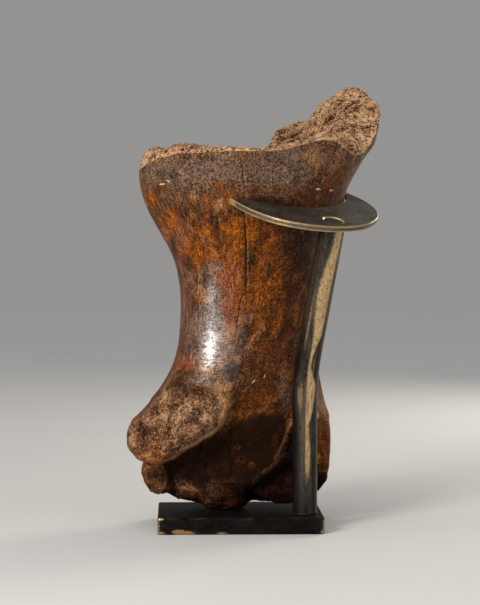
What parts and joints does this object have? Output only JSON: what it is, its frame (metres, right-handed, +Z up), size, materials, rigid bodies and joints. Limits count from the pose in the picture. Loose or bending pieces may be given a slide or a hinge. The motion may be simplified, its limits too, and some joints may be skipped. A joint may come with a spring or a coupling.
{
  "type": "fossil mammoth tibia on a display stand",
  "caption": "Fossil tibia of a young mammoth, upright on a bronze-coloured stand: base plate, bent round rod and a crescent plate that cradles its flared upper end.",
  "frame": {"origin": "middle of the base plate's underside, on the surface it stands on", "axes": "+Z up along the bone, +X to the right and -Y towards the viewer, square to the base plate's sides"},
  "size_m": [0.1562, 0.124, 0.274],
  "materials": {
    "fossil_bone": "polished mineralised bone, mottled brown and amber, with dull tan spongy ends",
    "blackened_brass": "black patina, satin, rubbed through to brass along the edges",
    "rubbed_brass": "dark patina rubbed through in long streaks, satin",
    "dull_brass": "dark olive patina, satin, with bright worn edges"
  },
  "bodies": {
    "root": {"tibia": "fossil_bone", "base_plate": "blackened_brass", "bent_rod": "rubbed_brass", "crescent_plate": "dull_brass"}
  },
  "joints": []
}
